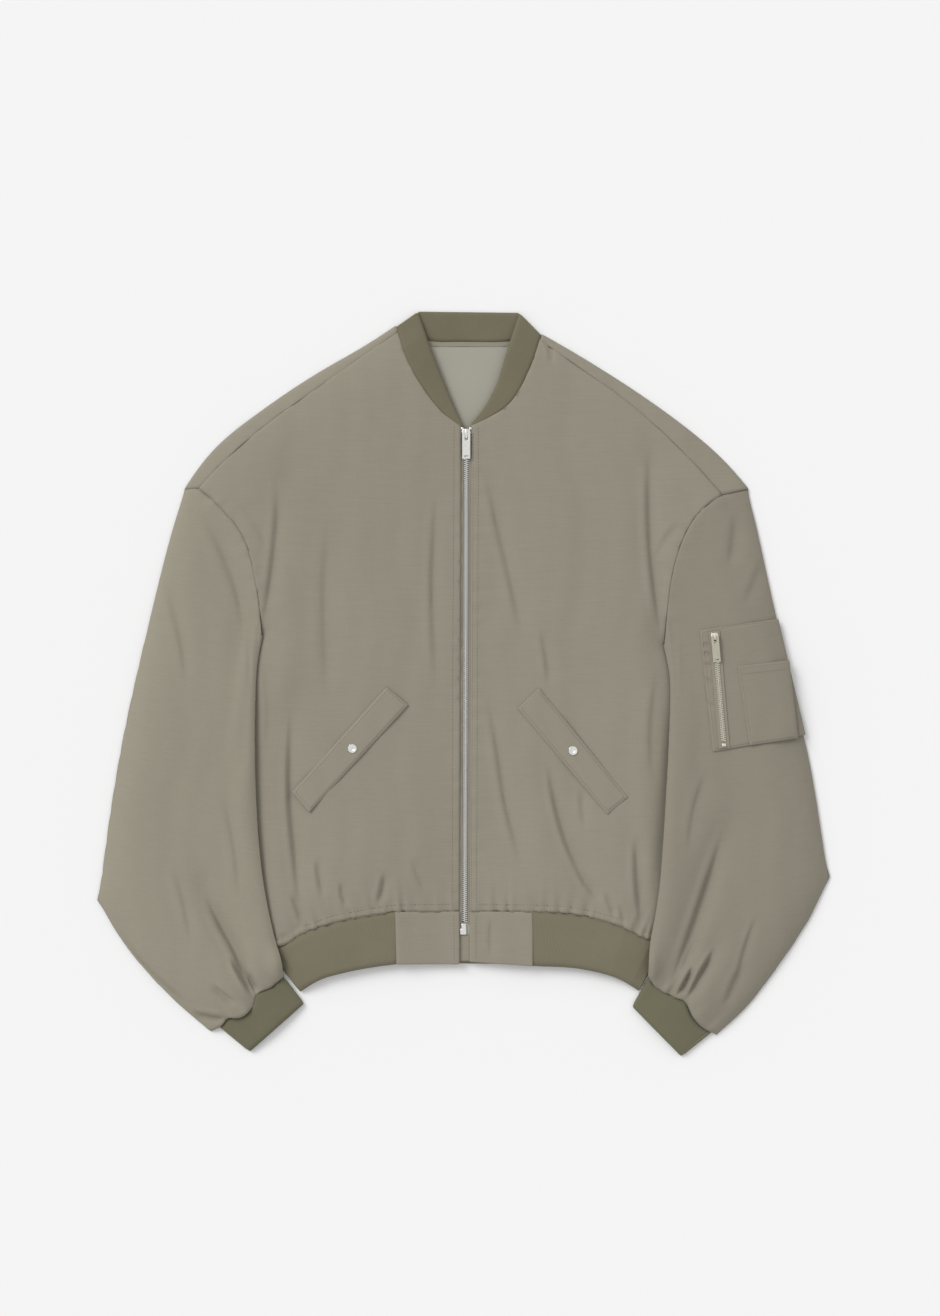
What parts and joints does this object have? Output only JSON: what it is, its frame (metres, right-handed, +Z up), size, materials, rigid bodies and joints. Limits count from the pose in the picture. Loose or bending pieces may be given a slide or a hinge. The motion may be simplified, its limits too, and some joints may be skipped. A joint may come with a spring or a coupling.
{
  "type": "bomber jacket laid flat",
  "caption": "Bomber jacket laid flat on its back, zipped up, with ribbed collar, cuffs and hem, slanted welt pockets and a zipped sleeve pocket.",
  "frame": {"origin": "middle of the laid jacket's outline, on the surface that it lies on", "axes": "+Z up from the surface, +Y towards the collar, +X towards the wearer's left sleeve"},
  "size_m": [0.806, 0.8193, 0.0246],
  "materials": {
    "cloth": "matte slubbed weave",
    "hem_rib": "matte rib knit",
    "collar_rib": "matte rib knit",
    "cuff_rib": "matte rib knit",
    "lining": "smooth plain weave",
    "tape": "woven tape",
    "metal": "bright nickel"
  },
  "bodies": {
    "jacket": {"front_right": "cloth", "sleeve_right": "cloth", "cuff_right": "cuff_rib", "hem_tab_right": "cloth", "welt_right": "cloth", "snap_right": "metal", "front_left": "cloth", "sleeve_left": "cloth", "cuff_left": "cuff_rib", "hem_tab_left": "cloth", "welt_left": "cloth", "snap_left": "metal", "back": "cloth", "hem_rib": "hem_rib", "collar": "collar_rib", "neck_tape": "tape", "back_lining": "lining", "zip_tape_right": "tape", "zip_tape_left": "tape", "zip_chain": "metal", "zip_slider": "metal", "zip_stop_right": "metal", "zip_stop_left": "metal", "zip_box": "metal", "hem_underlay": "cloth", "sleeve_pocket": "cloth", "pen_pocket": "cloth", "sleeve_zip_tape": "tape", "sleeve_zip_chain": "metal", "sleeve_zip_stop": "metal", "sleeve_zip_slider": "metal"},
    "main_pull": {"zip_pull": "metal"},
    "sleeve_pull": {"sleeve_zip_pull": "metal"}
  },
  "joints": [
    {"name": "main_pull_swing", "type": "hinge", "parent": "jacket", "child": "main_pull", "pos_m": [0.00308, 0.275, 0.01145], "axis": [-1, 0.0033, 0], "range_deg": [0, 155]},
    {"name": "sleeve_pull_swing", "type": "hinge", "parent": "jacket", "child": "sleeve_pull", "pos_m": [0.27486, 0.05192, 0.02105], "axis": [-0.9964, -0.0852, 0], "range_deg": [0, 150]}
  ]
}
